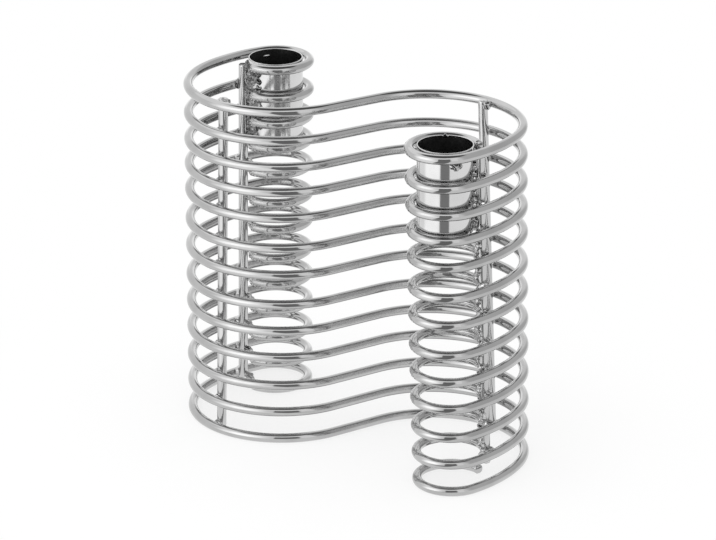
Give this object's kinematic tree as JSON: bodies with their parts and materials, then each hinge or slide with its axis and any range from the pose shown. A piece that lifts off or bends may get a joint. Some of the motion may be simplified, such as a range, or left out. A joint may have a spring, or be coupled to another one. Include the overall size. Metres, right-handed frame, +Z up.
{
  "type": "candle holder",
  "caption": "Tabletop taper candle holder: stacked S-shaped scroll wires of polished round bar, welded to upright rods, with a thin tubular candle cup standing in the ring at each end.",
  "frame": {"origin": "middle of the footprint, on the ground under the stack", "axes": "+X from the left cup to the right cup, +Y toward the back on the side of the right lobe, +Z up along the cups' bores"},
  "size_m": [0.1646, 0.1078, 0.1479],
  "materials": {
    "wire_steel": "polished",
    "rod_steel": "polished",
    "cup_steel": "polished",
    "weld_metal": "rough bead"
  },
  "bodies": {
    "root": {"scroll_wire_01": "wire_steel", "scroll_wire_02": "wire_steel", "scroll_wire_03": "wire_steel", "scroll_wire_04": "wire_steel", "scroll_wire_05": "wire_steel", "scroll_wire_06": "wire_steel", "scroll_wire_07": "wire_steel", "scroll_wire_08": "wire_steel", "scroll_wire_09": "wire_steel", "scroll_wire_10": "wire_steel", "scroll_wire_11": "wire_steel", "scroll_wire_12": "wire_steel", "scroll_wire_13": "wire_steel", "left_lobe_rod": "rod_steel", "left_cup_post": "rod_steel", "left_cup_tube": "cup_steel", "left_cup_floor": "cup_steel", "left_rod_welds": "weld_metal", "left_post_welds": "weld_metal", "right_lobe_rod": "rod_steel", "right_cup_post": "rod_steel", "right_cup_tube": "cup_steel", "right_cup_floor": "cup_steel", "right_rod_welds": "weld_metal", "right_post_welds": "weld_metal"}
  },
  "joints": []
}
